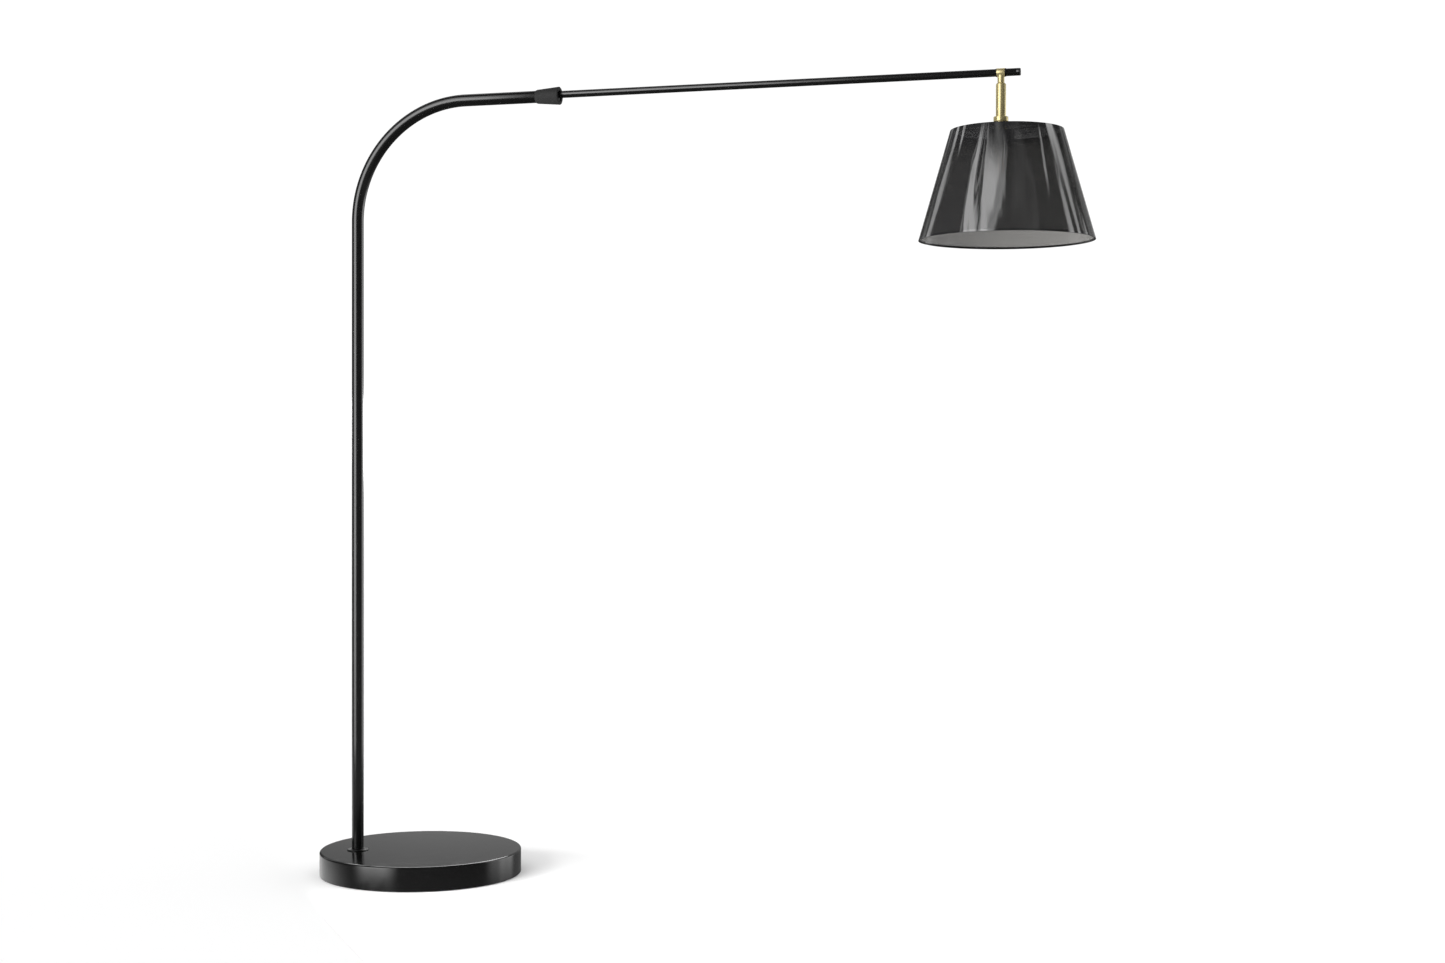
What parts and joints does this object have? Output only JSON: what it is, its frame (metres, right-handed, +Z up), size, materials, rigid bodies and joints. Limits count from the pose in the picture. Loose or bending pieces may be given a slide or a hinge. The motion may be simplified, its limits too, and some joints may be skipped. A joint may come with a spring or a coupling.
{
  "type": "adjustable arm floor lamp",
  "caption": "Floor lamp with a weighted disc base, a bent swivelling column, an arm that slides in a twist-lock collar, and a tapered shade hung on a brass stem.",
  "frame": {"origin": "centre of the base's underside, on the floor", "axes": "+X along the arm, from the column towards the shade; +Z up"},
  "size_m": [1.6715, 0.447, 1.682],
  "materials": {
    "base_pad": "closed-cell foam, black",
    "base_plate": "zinc plated",
    "plate_screw_1": "zinc plated",
    "plate_screw_2": "zinc plated",
    "plate_screw_3": "zinc plated",
    "base_weight": "cast concrete, rough",
    "base_cover": "gloss black lacquer",
    "cord_grommet": "moulded black",
    "base_lead": "black sheath",
    "foot_ring": "satin black",
    "foot_bush": "black nylon",
    "pole_tube": "satin-gloss black lacquer",
    "foot_plug": "turned",
    "foot_washer": "zinc plated",
    "foot_spring_washer": "zinc plated",
    "foot_nut": "zinc plated",
    "collar_nose": "turned",
    "grip_collet": "black nylon",
    "column_lead": "black sheath",
    "clamp_collar": "matt black powder coat",
    "arm_tube": "satin-gloss black lacquer",
    "arm_tail_bush": "natural nylon",
    "tail_ring_rear": "spring steel",
    "tail_ring_front": "spring steel",
    "arm_end_cap": "satin-gloss black lacquer",
    "stop_ring_inner": "blackened spring steel",
    "stop_ring_outer": "blackened spring steel",
    "arm_lead": "black sheath",
    "tee_sleeve": "satin, clear coated",
    "stem_nipple": "zinc plated",
    "stem_tube": "satin, clear coated",
    "stem_flange": "satin, clear coated",
    "nipple_nut": "zinc plated",
    "stem_lead": "black sheath",
    "holder_cup": "satin black lacquer",
    "holder_insulator": "moulded phenolic",
    "screw_shell": "rolled brass",
    "centre_contact": "pressed brass",
    "bulb_cap": "nickel plated",
    "bulb_button": "black glass",
    "bulb_glass": "clear",
    "filament_mount": "clear",
    "filament_1": "amber phosphor coat",
    "filament_2": "amber phosphor coat",
    "filament_3": "amber phosphor coat",
    "filament_4": "amber phosphor coat",
    "filament_link": "bright wire",
    "shade_spider": "black powder coat",
    "shade_shell": "smoked mirror film on PVC sheet",
    "shade_lining": "satin silver film",
    "shade_rim_wire": "black powder coat"
  },
  "bodies": {
    "base": {"base_pad": "base_pad", "base_plate": "base_plate", "plate_screw_1": "plate_screw_1", "plate_screw_2": "plate_screw_2", "plate_screw_3": "plate_screw_3", "base_weight": "base_weight", "base_cover": "base_cover", "cord_grommet": "cord_grommet", "base_lead": "base_lead", "foot_ring": "foot_ring", "foot_bush": "foot_bush"},
    "column": {"pole_tube": "pole_tube", "foot_plug": "foot_plug", "foot_washer": "foot_washer", "foot_spring_washer": "foot_spring_washer", "foot_nut": "foot_nut", "collar_nose": "collar_nose", "grip_collet": "grip_collet", "column_lead": "column_lead"},
    "collar": {"clamp_collar": "clamp_collar"},
    "arm": {"arm_tube": "arm_tube", "arm_tail_bush": "arm_tail_bush", "tail_ring_rear": "tail_ring_rear", "tail_ring_front": "tail_ring_front", "arm_end_cap": "arm_end_cap", "stop_ring_inner": "stop_ring_inner", "stop_ring_outer": "stop_ring_outer", "arm_lead": "arm_lead"},
    "hanger": {"tee_sleeve": "tee_sleeve", "stem_nipple": "stem_nipple", "stem_tube": "stem_tube", "stem_flange": "stem_flange", "nipple_nut": "nipple_nut", "stem_lead": "stem_lead", "holder_cup": "holder_cup", "holder_insulator": "holder_insulator", "screw_shell": "screw_shell", "centre_contact": "centre_contact", "bulb_cap": "bulb_cap", "bulb_button": "bulb_button", "bulb_glass": "bulb_glass", "filament_mount": "filament_mount", "filament_1": "filament_1", "filament_2": "filament_2", "filament_3": "filament_3", "filament_4": "filament_4", "filament_link": "filament_link", "shade_spider": "shade_spider", "shade_shell": "shade_shell", "shade_lining": "shade_lining", "shade_rim_wire": "shade_rim_wire"}
  },
  "joints": [
    {"name": "column_swivel", "type": "hinge", "parent": "base", "child": "column", "pos_m": [-0.124, -0.055, 0.0561], "axis": [0, 0, 1], "range_deg": [-66, 114]},
    {"name": "collar_twist", "type": "hinge", "parent": "column", "child": "collar", "pos_m": [0.2875, -0.055, 1.663], "axis": [1, 0, 0], "range_deg": [0, 90]},
    {"name": "arm_slide", "type": "slide", "parent": "column", "child": "arm", "axis": [1, 0, 0], "range_m": [-0.085, 0.06]},
    {"name": "hanger_swing", "type": "hinge", "parent": "arm", "child": "hanger", "pos_m": [1.2675, -0.055, 1.6655], "axis": [1, 0, 0], "range_deg": [-40, 40]}
  ]
}
